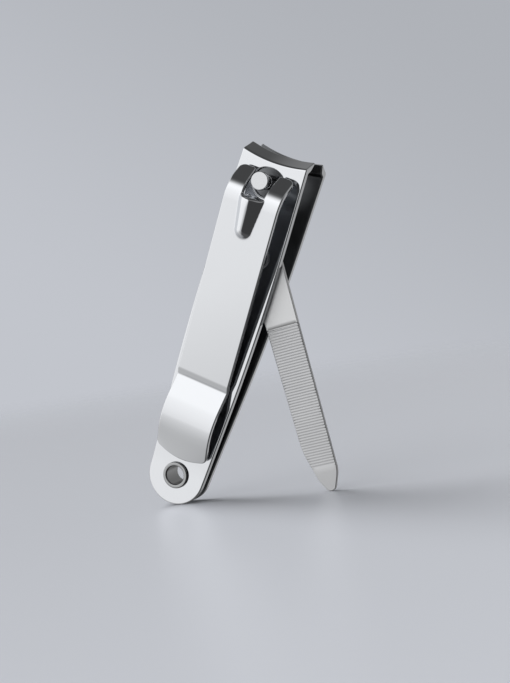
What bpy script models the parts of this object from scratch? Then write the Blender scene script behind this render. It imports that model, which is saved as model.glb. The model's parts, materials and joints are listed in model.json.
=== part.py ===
"""Large nail clipper with a swing-out nail file, standing on its tail and on the file's tip.

Everything is drawn in the clipper's own frame and carried by one empty, "stand":
  x      across the clipper, +x on the side where the file swings out
  depth  distance from the plane between the two arms, positive towards the lever (that is -Y)
  z      along the clipper, 0 at the tail eyelet, positive towards the jaws
The stand leans the clipper over until the round tail and the file's tip rest on one level
floor, and puts the middle of the whole object's footprint at the origin.
"""
import bisect
import math

import bmesh
import bpy
from mathutils import Matrix, Vector

MM = 0.001

# Overall layout
TAIL_RADIUS = 6.6 * MM
MID_HALF_WIDTH = 8.4 * MM          # widest place of the arms
MID_Z = 38.0 * MM
JAW_HALF_WIDTH = 7.3 * MM
JAW_CORNER_Z = 72.3 * MM           # where the jaw turns towards the other jaw
PIN_Z = 67.2 * MM
SMALL_GAP = 0.25 * MM              # between pieces that touch on the real object

# Arms
ARM_THICKNESS = 1.6 * MM
TAIL_HALF_STACK = 2.35 * MM        # outer face of an arm at the tail, from the middle plane
JAW_CORNER_DEPTH = 6.3 * MM
FLARE_Z = 2.0 * MM                 # the arms are parallel up to here, then splay
JAW_CORNER_RADIUS = 2.0 * MM
ARM_CORNERS = [                    # corners of an arm's outer face, as (z, depth, fillet radius)
    (-0.999 * TAIL_RADIUS, TAIL_HALF_STACK, 0.0),
    (FLARE_Z, TAIL_HALF_STACK, 40.0 * MM),
    (JAW_CORNER_Z, JAW_CORNER_DEPTH, JAW_CORNER_RADIUS),
    (74.0 * MM, 2.6 * MM, 0.0),         # cutting edge
]
EDGE_THICKNESS = 0.25 * MM
EDGE_BEVEL_LENGTH = 1.7 * MM
CORNER_HOLLOW = 0.9 * MM           # how far the middle of the jaw corner lies behind its ends
EDGE_HOLLOW = 0.85 * MM
HOLLOW_RUN = 7.0 * MM
ACROSS_STEPS = 16
TAIL_STEPS = 16
ARM_STEPS = 12

# Tail eyelet and the seat around it
EYELET_BORE_RADIUS = 2.05 * MM
EYELET_WALL_RADIUS = 2.4 * MM
EYELET_FLANGE_RADIUS = 2.95 * MM
EYELET_FLANGE_THICKNESS = 0.4 * MM
EYELET_HOLE_RADIUS = 2.6 * MM
SEAT_RADIUS = 3.35 * MM            # raised ring of the lower arm that spaces the arms

# Lever pin
PIN_SHAFT_RADIUS = 1.6 * MM
PIN_NECK_RADIUS = 1.1 * MM
PIN_HEAD_RADIUS = 1.9 * MM
PIN_HEAD_TOP = 10.6 * MM
PIN_HEAD_THICKNESS = 1.1 * MM
PIN_NECK_LENGTH = 1.8 * MM
PIN_FOOT_RADIUS = 2.9 * MM
PIN_FOOT_THICKNESS = 0.9 * MM
PIN_EDGE = 0.15 * MM
LOWER_PIN_HOLE_RADIUS = 1.68 * MM
UPPER_PIN_HOLE_RADIUS = 3.35 * MM

# Lever
LEVER_THICKNESS = 1.1 * MM
LEVER_HALF_WIDTH = 6.2 * MM
LEVER_CORNERS = [                  # as for the arms
    (5.6 * MM, 3.85 * MM, 0.0),         # free end, close to the arm
    (13.2 * MM, 7.8 * MM, 11.0 * MM),   # crown of the thumb pad
    (22.1 * MM, 4.95 * MM, 0.4 * MM),   # crease
    (23.6 * MM, 5.85 * MM, 0.8 * MM),   # foot of the long plate
    (65.0 * MM, 11.9 * MM, 6.5 * MM),   # shoulder of the fork
    (69.4 * MM, 7.35 * MM, 0.0),        # tips of the fork
]
LEVER_END_BOW = 1.5 * MM
LEVER_BOW_RUN = 6.0 * MM
LEVER_TIP_ROUND = 1.4 * MM
LEVER_END_ROUND = 1.0 * MM
FLIP_DEPTH = 8.6 * MM              # axis of the lever's lugs in the pin's neck
LUG_RADIUS = 0.5 * MM
LUG_REACH = 1.35 * MM              # how close the lugs come to the pin's axis
SLOT_MOUTH_HALF_WIDTH = 2.9 * MM
SLOT_FLOOR_HALF_WIDTH = 2.3 * MM
SLOT_FLOOR_Z = 62.6 * MM
SLOT_FLOOR_ROUND = 1.2 * MM
NOSE_ROOT_Z = 62.6 * MM            # widest place of the nose, at the slot
NOSE_ROOT_HALF_WIDTH = 3.1 * MM
NOSE_HEEL_Z = 54.9 * MM
NOSE_HEEL_RADIUS = 1.9 * MM
NOSE_KEEL = [(56.9 * MM, 0.9 * MM), (61.4 * MM, 2.3 * MM)]   # ends of its ridge, as (z, height)
NOSE_KEEL_HALF_WIDTH = 0.35 * MM
NOSE_LIP_Z = 64.2 * MM
NOSE_LIP_DROP = 0.9 * MM

# Nail file
FILE_PIVOT_X = 2.8 * MM
FILE_PIVOT_Z = 51.8 * MM
FILE_OUT_ANGLE = math.radians(35.7)
FILE_LENGTH = 51.4 * MM            # pivot to tip
FILE_THICKNESS = 1.0 * MM
FILE_ROOT_HALF_WIDTH = 3.9 * MM
FILE_TIP_HALF_WIDTH = 3.3 * MM
FILE_OFFSET = 0.4 * MM            # the blade's middle line beside the pivot
FILE_HOLE_RADIUS = 1.3 * MM
RIVET_SHANK_RADIUS = 1.2 * MM
RIVET_HEAD_RADIUS = 2.7 * MM
RIVET_TAIL_RADIUS = 2.2 * MM
RIVET_HEAD_THICKNESS = 0.5 * MM
RIVET_CLEARANCE = 0.1 * MM
RIVET_ARM_HOLE_RADIUS = 1.4 * MM

TURNED_SEGMENTS = 32
FLARE = (JAW_CORNER_DEPTH - TAIL_HALF_STACK) / (JAW_CORNER_Z - FLARE_Z)
FLARE_ANGLE = math.atan(FLARE)


def clear_scene():
    for item in list(bpy.data.objects):
        bpy.data.objects.remove(item, do_unlink=True)


def metal(name, colour, roughness):
    material = bpy.data.materials.new(name)
    material.use_nodes = True
    shader = material.node_tree.nodes["Principled BSDF"]
    shader.inputs["Base Color"].default_value = (*colour, 1.0)
    shader.inputs["Metallic"].default_value = 1.0
    shader.inputs["Roughness"].default_value = roughness
    return material


def point(x, depth, z):
    return Vector((x, -depth, z))


def add_object(name, mesh_builder, material):
    """Turn a finished bmesh into a named object whose faces all point outwards."""
    bmesh.ops.recalc_face_normals(mesh_builder, faces=mesh_builder.faces)
    mesh = bpy.data.meshes.new(name)
    mesh_builder.to_mesh(mesh)
    mesh_builder.free()
    mesh.shade_smooth()
    mesh.set_sharp_from_angle(angle=math.radians(35))
    item = bpy.data.objects.new(name, mesh)
    bpy.context.collection.objects.link(item)
    if material:
        item.data.materials.append(material)
    return item


def add_empty(name, parent, matrix):
    item = bpy.data.objects.new(name, None)
    item.empty_display_size = 5 * MM
    bpy.context.collection.objects.link(item)
    item.parent = parent
    item.matrix_local = matrix
    return item


def hang(item, parent, rest):
    """Put an object drawn in the clipper's frame under an empty whose rest matrix is given."""
    item.data.transform(rest.inverted())
    item.parent = parent


def boolean(item, tool, operation):
    tool.hide_render = True
    tool.display_type = "WIRE"
    modifier = item.modifiers.new(tool.name, "BOOLEAN")
    modifier.operation = operation
    modifier.object = tool
    modifier.solver = "EXACT"


def arc(centre, radius, start, end, steps):
    """Points of an arc in a plane, angles in radians."""
    angles = [start + (end - start) * i / steps for i in range(steps + 1)]
    return [(centre[0] + radius * math.cos(a), centre[1] + radius * math.sin(a)) for a in angles]


def filleted(corners, step=math.radians(9)):
    """Polyline through corners (a, b, radius), each inner corner rounded by its radius."""
    path = [Vector(corners[0][:2])]
    for before, here, after in zip(corners, corners[1:], corners[2:]):
        corner = Vector(here[:2])
        back = (Vector(before[:2]) - corner).normalized()
        ahead = (Vector(after[:2]) - corner).normalized()
        half = back.angle(ahead) / 2
        centre = corner + (back + ahead).normalized() * here[2] / math.sin(half)
        begin = corner + back * here[2] / math.tan(half) - centre
        finish = corner + ahead * here[2] / math.tan(half) - centre
        turn = begin.angle_signed(finish)
        count = max(2, math.ceil(abs(turn) / step))
        for i in range(count + 1):
            path.append(centre + Matrix.Rotation(-turn * i / count, 2) @ begin)
    path.append(Vector(corners[-1][:2]))
    return path


def extruded(name, outline, low, high, material, to_point):
    """Closed prism: outline points, from low to high; to_point places (a, b, height)."""
    builder = bmesh.new()
    rings = [[builder.verts.new(to_point(a, b, height)) for a, b in outline] for height in (low, high)]
    builder.faces.new(rings[0])
    builder.faces.new(list(reversed(rings[1])))
    for i in range(len(outline)):
        j = (i + 1) % len(outline)
        builder.faces.new((rings[0][i], rings[0][j], rings[1][j], rings[1][i]))
    return add_object(name, builder, material)


def turned(name, profile, material, frame, segments=TURNED_SEGMENTS):
    """Solid of revolution about frame's Y axis; profile is (radius, height), a radius of 0 closes it."""
    builder = bmesh.new()
    rings = []
    for radius, height in profile:
        if radius == 0:
            rings.append([builder.verts.new(frame @ Vector((0, height, 0)))])
            continue
        angles = [2 * math.pi * i / segments for i in range(segments)]
        spots = [Vector((radius * math.cos(a), height, radius * math.sin(a))) for a in angles]
        rings.append([builder.verts.new(frame @ spot) for spot in spots])
    closed = profile[0][0] > 0
    pairs = list(zip(rings, rings[1:] + (rings[:1] if closed else [])))
    for ring, following in pairs[:len(rings) if closed else len(rings) - 1]:
        for i in range(segments):
            j = (i + 1) % segments
            if len(ring) == 1:
                builder.faces.new((ring[0], following[i], following[j]))
            elif len(following) == 1:
                builder.faces.new((ring[i], following[0], ring[j]))
            else:
                builder.faces.new((ring[i], following[i], following[j], ring[j]))
    return add_object(name, builder, material)


def sheet(name, stations, material, side=1):
    """Bent sheet metal.

    A station is (z, depth, heading, thickness, half width, hollow): a place on the outer face,
    the direction in which the face runs on, and how far its middle lies back along the sheet.
    """
    builder = bmesh.new()
    rows = []
    for z, depth, heading, thickness, half_width, hollow in stations:
        outer = []
        inner = []
        for k in range(ACROSS_STEPS + 1):
            part = 2 * k / ACROSS_STEPS - 1
            shift = hollow * (1 - part * part)
            there = z - shift
            outer.append(builder.verts.new(point(part * half_width, side * depth, there)))
            in_z = there + thickness * math.sin(heading)
            in_depth = depth - thickness * math.cos(heading)
            inner.append(builder.verts.new(point(part * half_width, side * in_depth, in_z)))
        rows.append((outer, inner))
    for (outer, inner), (next_outer, next_inner) in zip(rows, rows[1:]):
        for k in range(ACROSS_STEPS):
            builder.faces.new((outer[k], outer[k + 1], next_outer[k + 1], next_outer[k]))
            builder.faces.new((inner[k + 1], inner[k], next_inner[k], next_inner[k + 1]))
        for k in (0, ACROSS_STEPS):
            builder.faces.new((outer[k], next_outer[k], next_inner[k], inner[k]))
    for outer, inner in (rows[0], rows[-1]):
        for k in range(ACROSS_STEPS):
            builder.faces.new((outer[k], outer[k + 1], inner[k + 1], inner[k]))
    return add_object(name, builder, material)


def side_path(corners, stops):
    """Places along a bent outer face: every bend, and the stops given as lengths from its start.

    Each place is (z, depth, heading, length from the start).
    """
    path = filleted(corners)
    lengths = [0.0]
    for a, b in zip(path, path[1:]):
        lengths.append(lengths[-1] + (b - a).length)
    places = []
    for length in sorted(set(lengths) | {stop for stop in stops if 0 < stop < lengths[-1]}):
        i = min(bisect.bisect_right(lengths, length), len(path) - 1) - 1
        along = path[i + 1] - path[i]
        place = path[i] + along * (length - lengths[i]) / along.length
        before = path[i] - path[i - 1] if i > 0 and length == lengths[i] else along
        ahead = along.normalized() + before.normalized()
        places.append((place.x, place.y, math.atan2(ahead.y, ahead.x), length))
    return places


def arm_depth(z):
    """Outer face of an arm where it splays."""
    return TAIL_HALF_STACK + FLARE * (z - FLARE_Z)


def arm_half_width(z):
    if z < 0:
        return math.sqrt(TAIL_RADIUS ** 2 - z ** 2)
    if z < MID_Z:
        return TAIL_RADIUS + (MID_HALF_WIDTH - TAIL_RADIUS) * z / MID_Z
    ease = (1 - math.cos(math.pi * min(1, (z - MID_Z) / (JAW_CORNER_Z - MID_Z)))) / 2
    return MID_HALF_WIDTH + (JAW_HALF_WIDTH - MID_HALF_WIDTH) * ease


def arm_stations():
    """The jaw's bend and edge curve back in the middle, and the edge is ground thin."""
    tail_z, edge_z, edge_depth = ARM_CORNERS[0][0], *ARM_CORNERS[-1][:2]
    jaw_length = math.hypot(edge_z - JAW_CORNER_Z, edge_depth - JAW_CORNER_DEPTH)
    arm_length = math.hypot(JAW_CORNER_Z - FLARE_Z, JAW_CORNER_DEPTH - TAIL_HALF_STACK)
    stops = [-TAIL_RADIUS * math.cos(math.pi / 2 * i / TAIL_STEPS) - tail_z for i in range(TAIL_STEPS + 1)]
    stops += [FLARE_Z - tail_z + arm_length * i / ARM_STEPS for i in range(1, ARM_STEPS)]
    total = side_path(ARM_CORNERS, [])[-1][3]
    stops.append(total - EDGE_BEVEL_LENGTH)
    stations = []
    for z, depth, heading, length in side_path(ARM_CORNERS, stops):
        bend_start = total - jaw_length - HOLLOW_RUN
        near_jaw = min(1, max(0, (length - bend_start) / HOLLOW_RUN))
        along_jaw = max(0, length - total + jaw_length) / jaw_length
        hollow = CORNER_HOLLOW * near_jaw ** 2 + (EDGE_HOLLOW - CORNER_HOLLOW) * along_jaw
        thickness = EDGE_THICKNESS if length == total else ARM_THICKNESS
        stations.append((z, depth, heading, thickness, arm_half_width(z), hollow))
    return stations


def round_cutter(name, x, z, radius, low, high, frame=None):
    """Closed cylinder across the clipper at (x, z), between two depths."""
    place = frame or Matrix.Translation((x, 0, z))
    return turned(name, [(0, -low), (radius, -low), (radius, -high), (0, -high)], None, place)


def file_frame():
    """At the file's pivot on the upper arm's outer face, Y into the arm, Z along its slope."""
    middle = Vector((FILE_PIVOT_X, -arm_depth(FILE_PIVOT_Z), FILE_PIVOT_Z))
    return Matrix.Translation(middle) @ Matrix.Rotation(FLARE_ANGLE, 4, "X")


def build_upper_arm(material):
    arm = sheet("upper_arm", arm_stations(), material)
    reach = JAW_CORNER_DEPTH + 4 * MM
    boolean(arm, round_cutter("cut_upper_eyelet", 0, 0, EYELET_HOLE_RADIUS, 0, reach), "DIFFERENCE")
    boolean(arm, round_cutter("cut_upper_pin", 0, PIN_Z, UPPER_PIN_HOLE_RADIUS, 0, reach), "DIFFERENCE")
    hole = turned("cut_file_rivet", [(0, -2 * MM), (RIVET_ARM_HOLE_RADIUS, -2 * MM),
                                     (RIVET_ARM_HOLE_RADIUS, 3 * MM), (0, 3 * MM)], None, file_frame())
    boolean(arm, hole, "DIFFERENCE")
    return arm


def build_lower_arm(material):
    arm = sheet("lower_arm", arm_stations(), material, side=-1)
    inner_face = TAIL_HALF_STACK - ARM_THICKNESS
    seat_top = inner_face - SMALL_GAP
    seat_foot = -inner_face - ARM_THICKNESS / 2
    boolean(arm, round_cutter("seat", 0, 0, SEAT_RADIUS, seat_foot, seat_top), "UNION")
    reach = -JAW_CORNER_DEPTH - 4 * MM
    boolean(arm, round_cutter("cut_lower_eyelet", 0, 0, EYELET_HOLE_RADIUS, reach, 2 * MM), "DIFFERENCE")
    boolean(arm, round_cutter("cut_lower_pin", 0, PIN_Z, LOWER_PIN_HOLE_RADIUS, reach, 0), "DIFFERENCE")
    return arm


def build_eyelet(material):
    """Hollow rivet with a flange outside each arm."""
    under = TAIL_HALF_STACK + SMALL_GAP
    top = under + EYELET_FLANGE_THICKNESS
    edge = EYELET_FLANGE_THICKNESS / 4
    half = [(EYELET_BORE_RADIUS, top - edge), (EYELET_BORE_RADIUS + edge, top),
            (EYELET_FLANGE_RADIUS - edge, top), (EYELET_FLANGE_RADIUS, top - edge),
            (EYELET_FLANGE_RADIUS, under), (EYELET_WALL_RADIUS, under)]
    profile = half + [(radius, -height) for radius, height in reversed(half)]
    return turned("tail_eyelet", profile, material, Matrix.Identity(4))


def build_pin(material):
    foot = -arm_depth(PIN_Z) - SMALL_GAP
    neck_top = PIN_HEAD_TOP - PIN_HEAD_THICKNESS
    neck_foot = neck_top - PIN_NECK_LENGTH
    heights = [(0, foot - PIN_FOOT_THICKNESS), (PIN_FOOT_RADIUS - PIN_EDGE, foot - PIN_FOOT_THICKNESS),
               (PIN_FOOT_RADIUS, foot - PIN_FOOT_THICKNESS + PIN_EDGE), (PIN_FOOT_RADIUS, foot),
               (PIN_SHAFT_RADIUS, foot), (PIN_SHAFT_RADIUS, neck_foot - PIN_EDGE),
               (PIN_NECK_RADIUS, neck_foot), (PIN_NECK_RADIUS, neck_top), (PIN_HEAD_RADIUS, neck_top),
               (PIN_HEAD_RADIUS, PIN_HEAD_TOP - PIN_EDGE), (PIN_HEAD_RADIUS - PIN_EDGE, PIN_HEAD_TOP),
               (0, PIN_HEAD_TOP)]
    profile = [(radius, -depth) for radius, depth in heights]
    return turned("lever_pin", profile, material, Matrix.Translation((0, 0, PIN_Z)))


def lever_face_depth(z):
    """Outer face of the lever's long plate, carried on as a straight line."""
    (z_foot, depth_foot, _), (z_top, depth_top, _) = LEVER_CORNERS[3:5]
    return depth_foot + (depth_top - depth_foot) * (z - z_foot) / (z_top - z_foot)


def rounded_end(distance, radius):
    """How much a corner of the given radius narrows one side, at a distance from the end."""
    if distance >= radius:
        return 0.0
    return radius - math.sqrt(radius ** 2 - (radius - distance) ** 2)


def lever_stations():
    """The free end bows outwards, and the corners of both ends are rounded."""
    total = side_path(LEVER_CORNERS, [])[-1][3]
    parts = [0.1, 0.35, 0.75, 1.0]
    stops = [LEVER_END_ROUND * part for part in parts]
    stops += [total - LEVER_TIP_ROUND * part for part in parts]
    stations = []
    for z, depth, heading, length in side_path(LEVER_CORNERS, stops):
        narrowing = rounded_end(length, LEVER_END_ROUND) + rounded_end(total - length, LEVER_TIP_ROUND)
        bow = LEVER_END_BOW * max(0.0, 1 - length / LEVER_BOW_RUN)
        stations.append((z, depth, heading, LEVER_THICKNESS, LEVER_HALF_WIDTH - narrowing, bow))
    return stations


def build_nose():
    """Keel behind the fork that bears on the upper arm when the lever is turned over for use."""
    builder = bmesh.new()
    sunk = LEVER_THICKNESS / 2
    heel_z = NOSE_HEEL_Z + NOSE_HEEL_RADIUS
    base = arc((0, heel_z), NOSE_HEEL_RADIUS, math.pi, 2 * math.pi, 10)
    base += [(NOSE_ROOT_HALF_WIDTH, NOSE_ROOT_Z), (-NOSE_ROOT_HALF_WIDTH, NOSE_ROOT_Z)]
    spots = [(x, z, -drop) for x, z in base for drop in (0, sunk)]
    spots += [(side * NOSE_KEEL_HALF_WIDTH, z, height) for z, height in NOSE_KEEL for side in (-1, 1)]
    spots += [(side * SLOT_FLOOR_HALF_WIDTH / 2, NOSE_LIP_Z, -NOSE_LIP_DROP) for side in (-1, 1)]
    for x, z, height in spots:
        builder.verts.new(point(x, lever_face_depth(z) + height, z))
    bmesh.ops.convex_hull(builder, input=builder.verts)
    return add_object("nose", builder, None)


def build_lever(material):
    lever = sheet("lever", lever_stations(), material)
    mouth_z = LEVER_CORNERS[-1][0] + 3 * MM
    corners = [(-SLOT_MOUTH_HALF_WIDTH, mouth_z, 0), (-SLOT_FLOOR_HALF_WIDTH, SLOT_FLOOR_Z, SLOT_FLOOR_ROUND),
               (SLOT_FLOOR_HALF_WIDTH, SLOT_FLOOR_Z, SLOT_FLOOR_ROUND), (SLOT_MOUTH_HALF_WIDTH, mouth_z, 0)]
    outline = [tuple(spot) for spot in filleted(corners, step=math.radians(15))]
    slot = extruded("cut_slot", outline, 2 * MM, 16 * MM, None, lambda a, b, height: point(a, height, b))
    boolean(lever, slot, "DIFFERENCE")
    boolean(lever, build_nose(), "UNION")
    for name, sign in (("lug_left", -1), ("lug_right", 1)):
        ends = (sign * LUG_REACH, sign * (SLOT_MOUTH_HALF_WIDTH + 0.8 * MM))
        ring = arc((FLIP_DEPTH, PIN_Z), LUG_RADIUS, 0, 2 * math.pi * 15 / 16, 15)
        lug = extruded(name, ring, *ends, None, lambda a, b, height: point(height, a, b))
        boolean(lever, lug, "UNION")
    return lever


def file_outline():
    """Nail file pointing down -z from its pivot at (0, 0)."""
    left_root = FILE_OFFSET - FILE_ROOT_HALF_WIDTH
    right_root = FILE_OFFSET + FILE_ROOT_HALF_WIDTH
    left_tip = FILE_OFFSET - FILE_TIP_HALF_WIDTH
    right_tip = FILE_OFFSET + FILE_TIP_HALF_WIDTH
    root = arc((FILE_OFFSET, 0), FILE_ROOT_HALF_WIDTH, 0, math.pi, 14)
    tip_x = FILE_OFFSET + 0.5 * MM
    end = -FILE_LENGTH
    corners = [(left_root, 0, 0), (left_tip, end + 9.5 * MM, 18 * MM),
               (left_tip + 1.9 * MM, end + 2.6 * MM, 6 * MM), (tip_x - 0.3 * MM, end, 1.2 * MM),
               (tip_x + 1.2 * MM, end + 0.2 * MM, 1.0 * MM), (right_tip, end + 4.0 * MM, 3.5 * MM),
               (right_root, 0, 0)]
    tip = [tuple(spot) for spot in filleted(corners, step=math.radians(6))]
    return root[:-1] + tip[:-1]


def file_height():
    """Middle of the file's thickness, below the upper arm's outer face."""
    return ARM_THICKNESS + SMALL_GAP + FILE_THICKNESS / 2


def build_file(material):
    """The file swings on the upper arm's inner side."""
    half = FILE_THICKNESS / 2
    blade = extruded("nail_file", file_outline(), -half, half, material,
                     lambda a, b, height: Vector((a, height, b)))
    hole = turned("cut_file_hole", [(0, -MM), (FILE_HOLE_RADIUS, -MM), (FILE_HOLE_RADIUS, MM), (0, MM)],
                  None, Matrix.Identity(4))
    boolean(blade, hole, "DIFFERENCE")
    return blade, hole


def build_rivet(material):
    """Solid rivet that holds the file to the upper arm; Y runs into the arm."""
    head = -RIVET_CLEARANCE
    tail = file_height() + FILE_THICKNESS / 2 + RIVET_CLEARANCE
    top = head - RIVET_HEAD_THICKNESS
    bottom = tail + RIVET_HEAD_THICKNESS
    profile = [(0, top), (RIVET_HEAD_RADIUS - 2 * PIN_EDGE, top), (RIVET_HEAD_RADIUS, top + 2 * PIN_EDGE),
               (RIVET_HEAD_RADIUS, head), (RIVET_SHANK_RADIUS, head), (RIVET_SHANK_RADIUS, tail),
               (RIVET_TAIL_RADIUS, tail), (RIVET_TAIL_RADIUS, bottom - PIN_EDGE),
               (RIVET_TAIL_RADIUS - PIN_EDGE, bottom), (0, bottom)]
    return turned("file_rivet", profile, material, file_frame())


def file_rest():
    """The file's own frame at rest, swung out by FILE_OUT_ANGLE."""
    drop = Matrix.Translation((0, file_height(), 0))
    return file_frame() @ drop @ Matrix.Rotation(-FILE_OUT_ANGLE, 4, "Y")


def lean_angle():
    """Lean that brings the round tail and the file's tip down to one level."""
    rest = file_rest()
    angles = []
    for a, b in file_outline():
        spot = rest @ Vector((a, 0, b))
        reach = math.hypot(spot.x, spot.z)
        if reach > FILE_LENGTH / 2 and spot.x > 0 and spot.z < FILE_PIVOT_Z / 2:
            angles.append(math.atan2(spot.z, spot.x) + math.asin(TAIL_RADIUS / reach))
    return min(angles)


def set_on_floor(stand):
    """Centre the whole object over the origin and rest its lowest point on Z = 0."""
    bpy.context.view_layer.update()
    graph = bpy.context.evaluated_depsgraph_get()
    corners = []
    for item in bpy.data.objects:
        if item.type == "MESH" and not item.hide_render:
            final = item.evaluated_get(graph)
            corners += [final.matrix_world @ vertex.co for vertex in final.data.vertices]
    low = [min(corner[axis] for corner in corners) for axis in range(3)]
    high = [max(corner[axis] for corner in corners) for axis in range(3)]
    stand.location = (-(low[0] + high[0]) / 2, -(low[1] + high[1]) / 2, -low[2])
    bpy.context.view_layer.update()


def main():
    clear_scene()
    chrome = metal("polished_chrome", (0.82, 0.83, 0.85), 0.06)
    dark_chrome = metal("pin_chrome", (0.78, 0.79, 0.81), 0.12)
    satin = metal("satin_file_steel", (0.66, 0.66, 0.65), 0.38)

    stand = add_empty("stand", None, Matrix.Rotation(lean_angle(), 4, "Y"))
    upper_arm = build_upper_arm(chrome)
    lower_arm = build_lower_arm(chrome)
    eyelet = build_eyelet(chrome)
    pin = build_pin(dark_chrome)
    lever = build_lever(chrome)
    blade, blade_hole = build_file(satin)
    rivet = build_rivet(chrome)

    for item in [i for i in bpy.data.objects if i.type == "MESH" and i not in (blade, blade_hole)]:
        item.parent = stand
    pin_axis = Matrix.Translation((0, 0, PIN_Z))
    flip_axis = Matrix.Translation(point(0, FLIP_DEPTH, PIN_Z))
    pin_turn = add_empty("pin_swivel_axis", stand, pin_axis)
    hang(pin, pin_turn, pin_axis)
    lever_turn = add_empty("lever_flip_axis", pin_turn, pin_axis.inverted() @ flip_axis)
    hang(lever, lever_turn, flip_axis)
    for modifier in lever.modifiers:
        hang(modifier.object, lever_turn, flip_axis)
    file_turn = add_empty("file_swing_axis", upper_arm, file_rest())
    blade.parent = file_turn
    blade_hole.parent = file_turn
    rivet.parent = upper_arm
    eyelet.parent = lower_arm
    set_on_floor(stand)


main()
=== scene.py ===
"""Looks of a large chromed nail clipper that stands on its tail and on its swung-out file.

Every piece is drawn in the clipper's own frame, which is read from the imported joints:
  x      across the clipper, positive on the side where the file swings out
  depth  distance from the plane between the two arms, positive towards the lever
  z      along the clipper, 0 at the tail eyelet, positive towards the jaws
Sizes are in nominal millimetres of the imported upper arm, which MM turns into metres.

Sheet pieces start as flat patterns (x, s, t): s runs along the sheet, t into it from its outer
face. A pattern gets its holes and rounded edges while flat, and is then bent along a side path,
with its normals carried through the bend so that the mirror polish shows no facets.
"""

import json
import math

import bpy
import numpy as np
from mathutils import Matrix, Vector
from mathutils.geometry import delaunay_2d_cdt


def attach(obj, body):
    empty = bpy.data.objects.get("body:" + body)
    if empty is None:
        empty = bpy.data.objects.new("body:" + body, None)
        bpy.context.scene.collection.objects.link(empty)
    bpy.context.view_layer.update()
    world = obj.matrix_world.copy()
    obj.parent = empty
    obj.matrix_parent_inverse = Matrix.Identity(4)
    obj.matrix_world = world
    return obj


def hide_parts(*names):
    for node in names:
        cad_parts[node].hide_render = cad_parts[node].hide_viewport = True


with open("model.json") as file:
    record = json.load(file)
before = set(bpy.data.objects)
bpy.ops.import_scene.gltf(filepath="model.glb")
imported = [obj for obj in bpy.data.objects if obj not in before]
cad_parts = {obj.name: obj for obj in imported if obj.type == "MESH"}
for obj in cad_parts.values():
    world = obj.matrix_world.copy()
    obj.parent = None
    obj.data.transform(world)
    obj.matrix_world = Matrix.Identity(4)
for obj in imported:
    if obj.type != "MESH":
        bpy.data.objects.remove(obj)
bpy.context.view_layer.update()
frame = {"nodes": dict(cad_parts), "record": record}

# Arms, in nominal millimetres
ARM_LENGTH = 80.5934
ARM_THICKNESS = 1.6
ARM_EDGE = 0.3
TAIL_RADIUS = 6.595
TAIL_HALF_STACK = 2.35
MID_HALF_WIDTH, MID_Z = 8.4, 38.0
JAW_HALF_WIDTH, JAW_CORNER_Z, JAW_CORNER_DEPTH = 7.3, 72.3, 6.3
TAIL_ROUNDING = 0.998              # part of the tail's radius that its corners have, for a round end
SIDE_BULGE_RADIUS = 500.0          # of the long bulge in the middle of each side
FLARE_Z, FLARE_BEND_RADIUS = 2.0, 40.0
CUTTING_Z, CUTTING_DEPTH = 74.0, 2.6
JAW_CORNER_RADIUS = 0.7
JAW_INNER_RADIUS = 0.25            # of the inner face at the same corner
JAW_OUTLINE_ROUND = ARM_EDGE + 0.05  # just over the rounded edge, so that the edge doesn't fold
GRIND_LENGTH = 1.7
CUTTING_THICKNESS = 0.25
JAW_HOLLOW = 0.88
HOLLOW_RUN = 7.0
EYELET_HOLE_RADIUS = 2.6
UPPER_PIN_HOLE_RADIUS = 3.35
LOWER_PIN_HOLE_RADIUS = 1.68
PIN_HOLE_EDGE, SMALL_HOLE_EDGE = 0.4, 0.15
SEAT_RADIUS = 3.35                 # ring of the lower arm, around the eyelet, that spaces the arms
SEAT_EDGE = 0.12
SMALL_GAP = 0.25                   # between pieces that touch on the real object

# Lever
LEVER_THICKNESS = 1.1
LEVER_EDGE = 0.3
LEVER_HALF_WIDTH = 6.2
LEVER_CORNERS = [
    (5.6, 3.85, 0.0),
    (13.2, 7.8, 11.0),
    (22.1, 4.95, 0.35),
    (23.6, 5.85, 1.15),
    (65.0, 11.9, 6.5),
    (69.4, 7.35, 0.0),
]
PLATE_START_Z = 25.0
LEVER_END_BOW, LEVER_BOW_RUN = 1.5, 8.0
LEVER_TIP_ROUND = 1.4
LEVER_END_ROUND = 0.9
SLOT_MOUTH_HALF_WIDTH = 2.75
SLOT_FLOOR_HALF_WIDTH = 2.35
SLOT_FLOOR_Z = 62.6
SLOT_LIP_HALF_WIDTH, SLOT_LIP_Z = 1.1, 64.1
SLOT_MOUTH_ROUND, SLOT_FLOOR_ROUND, SLOT_LIP_ROUND = 0.7, 0.6, 0.5
NOSE_HEEL_Z, NOSE_HEEL_RADIUS = 54.9, 1.9
NOSE_ROOT_Z, NOSE_ROOT_HALF_WIDTH = 63.2, 2.8
NOSE_HEEL_HEIGHT, NOSE_CREST_HEIGHT = 1.5, 2.12
NOSE_FULLNESS = 1.6                # power of its round section, 2 is a parabola
NOSE_FOOT_ROUND = 0.12
NOSE_CREST_Z = 62.9
NOSE_FRONT_RUN = 1.15              # length over which it falls off towards the pin

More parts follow.
